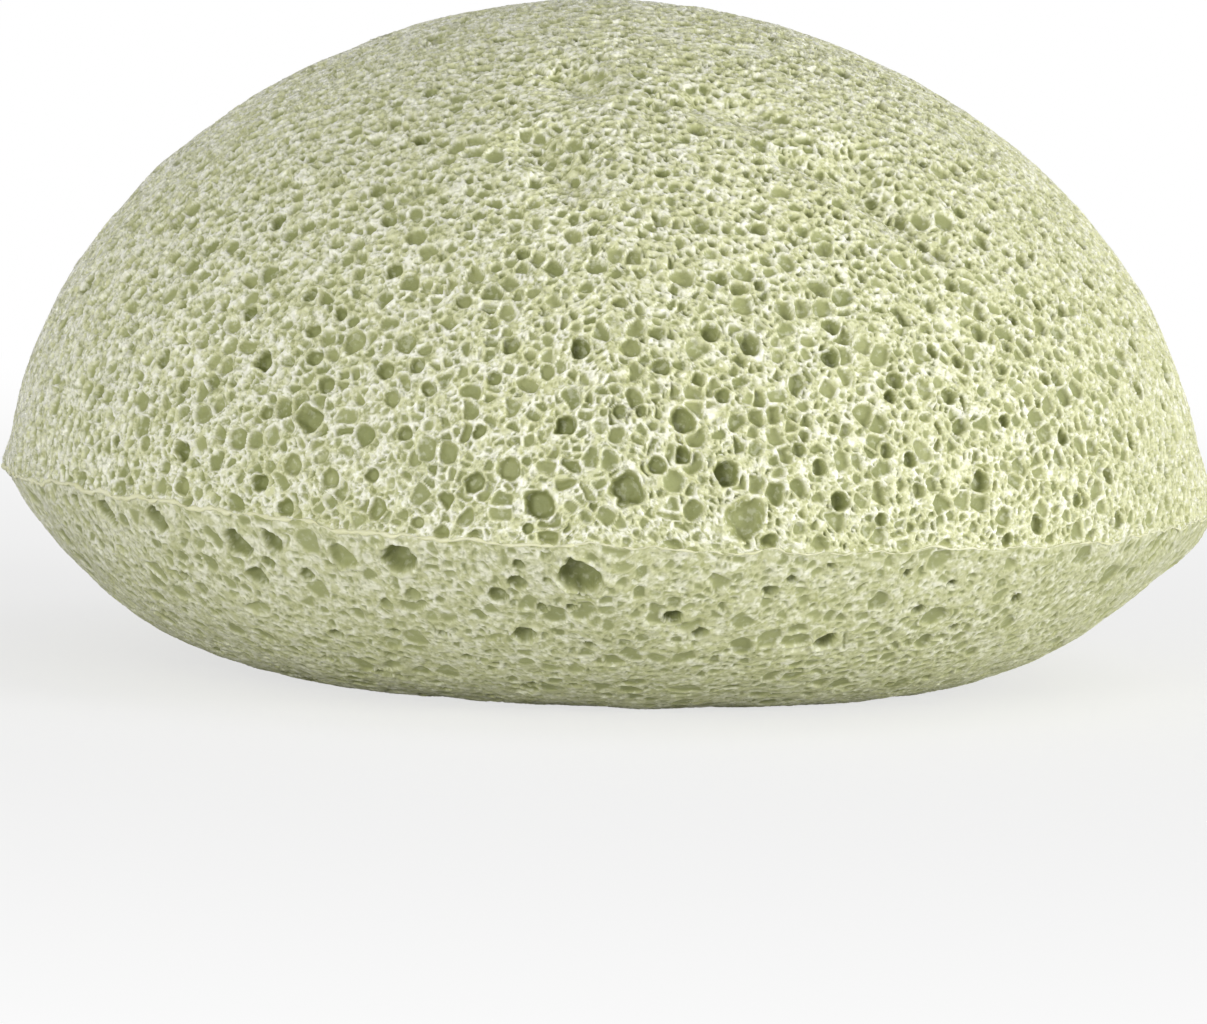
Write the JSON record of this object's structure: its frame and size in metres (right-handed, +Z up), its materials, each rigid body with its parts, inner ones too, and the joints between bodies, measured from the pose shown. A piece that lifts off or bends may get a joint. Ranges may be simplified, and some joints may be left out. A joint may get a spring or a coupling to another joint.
{
  "type": "konjac sponge",
  "caption": "Half-ball facial sponge: an open-cell foam dome over a shallow smooth-skinned bowl with a flat foot; it presses flat and springs back.",
  "frame": {"origin": "centre of the flat foot, on the surface that the sponge stands on", "axes": "+Z up from the foot to the crown, -Y towards the pictured front, +X to its right"},
  "size_m": [0.08, 0.08, 0.0445],
  "materials": {
    "foam": "damp open-cell gel foam",
    "skin": "damp smooth gel film",
    "seam": "damp gel flash"
  },
  "bodies": {
    "base": {"base_foam": "foam", "underside_skin": "skin"},
    "dome": {"dome_foam": "foam", "rim_seam": "seam"}
  },
  "joints": [
    {"name": "squeeze", "type": "slide", "parent": "base", "child": "dome", "axis": [0, 0, -1], "range_m": [0, 0.008], "stiffness_N_per_m": 500, "springref_m": -0.002, "deforming": ["base_foam", "underside_skin"]}
  ]
}
